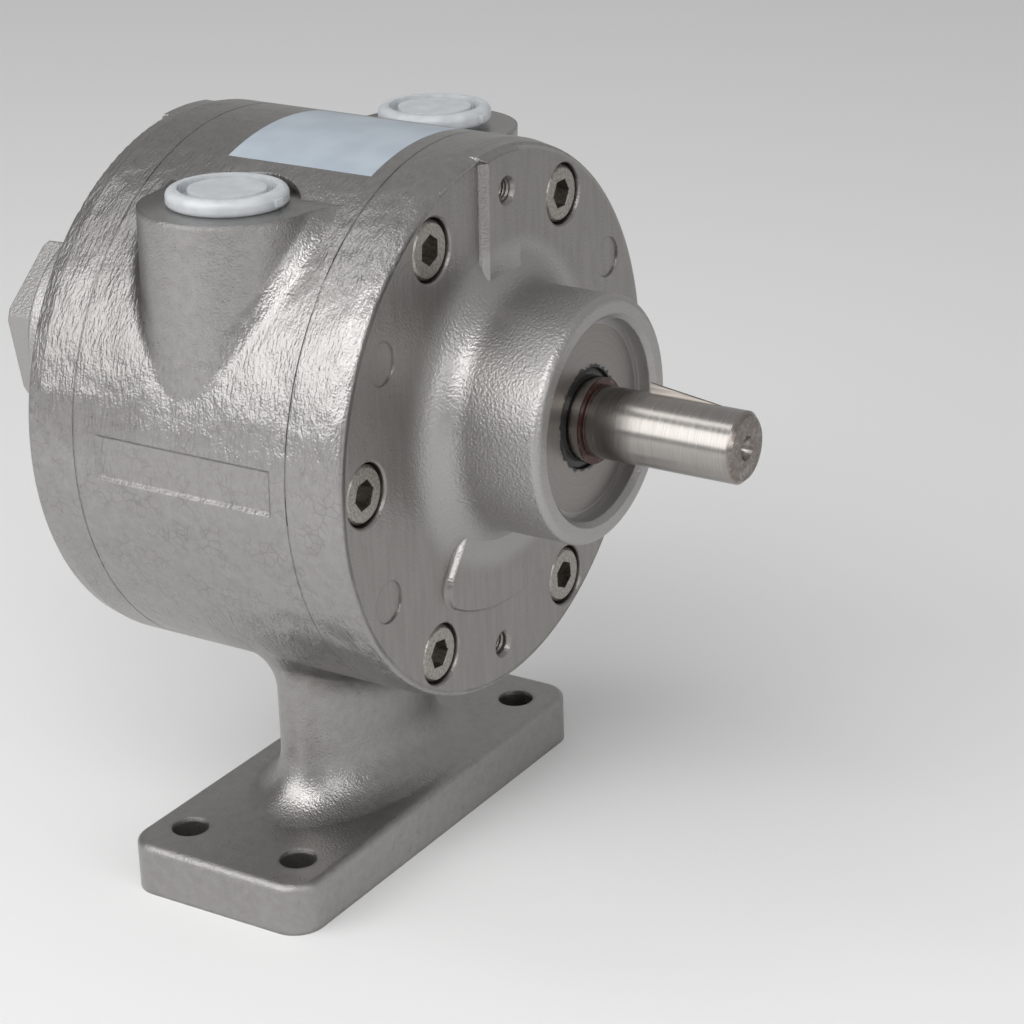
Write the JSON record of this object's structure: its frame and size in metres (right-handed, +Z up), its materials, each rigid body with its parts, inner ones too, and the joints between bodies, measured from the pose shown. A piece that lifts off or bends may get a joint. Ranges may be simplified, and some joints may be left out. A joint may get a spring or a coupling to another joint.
{
  "type": "air vane motor",
  "caption": "Foot-mounted rotary vane air motor with a keyed output shaft, ported cylindrical barrel, bolted end plates and a screwed end cap.",
  "frame": {"origin": "middle of the four foot holes, on the underside of the foot", "axes": "+X along the output shaft to its free end, +Y across the foot, +Z up"},
  "size_m": [0.1859, 0.1252, 0.1699],
  "materials": {
    "painted_casting": "satin",
    "painted_steel": "satin",
    "ground_steel": "satin",
    "screw_steel": "satin",
    "bearing_steel": "polished",
    "spring_steel": "satin",
    "rotor_iron": "satin",
    "vane_laminate": "matte",
    "cage_nylon": "satin",
    "seal_rubber": "gloss",
    "gasket_paper": "matte",
    "cap_polythene": "satin",
    "label_film": "satin"
  },
  "bodies": {
    "housing": {"body_casting": "painted_casting", "drive_end_plate": "painted_casting", "dead_end_plate": "painted_casting", "drive_end_gasket": "gasket_paper", "dead_end_gasket": "gasket_paper", "drive_end_screws": "screw_steel", "dead_end_screws": "screw_steel", "dowel_pins": "bearing_steel", "end_cap": "painted_casting", "end_cap_cord": "seal_rubber", "preload_washer": "spring_steel", "shaft_seal_case": "painted_steel", "shaft_seal_lip": "seal_rubber", "drive_bearing_outer_race": "bearing_steel", "dead_bearing_outer_race": "bearing_steel", "left_port_cap": "cap_polythene", "right_port_cap": "cap_polythene"},
    "rotor_assembly": {"shaft": "ground_steel", "rotor": "rotor_iron", "output_key": "ground_steel", "drive_bearing_inner_race": "bearing_steel", "dead_bearing_inner_race": "bearing_steel"},
    "drive_ball_set": {"drive_bearing_balls": "bearing_steel", "drive_bearing_cage": "cage_nylon"},
    "dead_ball_set": {"dead_bearing_balls": "bearing_steel", "dead_bearing_cage": "cage_nylon"},
    "vane_1_blade": {"vane_1": "vane_laminate"},
    "vane_2_blade": {"vane_2": "vane_laminate"},
    "vane_3_blade": {"vane_3": "vane_laminate"},
    "vane_4_blade": {"vane_4": "vane_laminate"}
  },
  "joints": [
    {"name": "rotor_turn", "type": "hinge", "parent": "housing", "child": "rotor_assembly", "pos_m": [0, 0, 0.1121], "axis": [1, 0, 0], "continuous": true},
    {"name": "drive_ball_set_turn", "type": "hinge", "parent": "housing", "child": "drive_ball_set", "pos_m": [0.0535, 0, 0.1121], "axis": [1, 0, 0], "continuous": true},
    {"name": "dead_ball_set_turn", "type": "hinge", "parent": "housing", "child": "dead_ball_set", "pos_m": [-0.0516, 0, 0.1121], "axis": [1, 0, 0], "continuous": true},
    {"name": "vane_1_slide", "type": "slide", "parent": "rotor_assembly", "child": "vane_1_blade", "axis": [0, 0.7071, 0.7071], "range_m": [0, 0.0013]},
    {"name": "vane_2_slide", "type": "slide", "parent": "rotor_assembly", "child": "vane_2_blade", "axis": [0, 0.7071, -0.7071], "range_m": [0, 0.0013]},
    {"name": "vane_3_slide", "type": "slide", "parent": "rotor_assembly", "child": "vane_3_blade", "axis": [0, -0.7071, -0.7071], "range_m": [0, 0.0013]},
    {"name": "vane_4_slide", "type": "slide", "parent": "rotor_assembly", "child": "vane_4_blade", "axis": [0, -0.7071, 0.7071], "range_m": [0, 0.0013]}
  ],
  "couplings": [
    {"joint": "drive_ball_set_turn", "follows": "rotor_turn", "ratio": 0.39474},
    {"joint": "dead_ball_set_turn", "follows": "rotor_turn", "ratio": 0.39474}
  ]
}
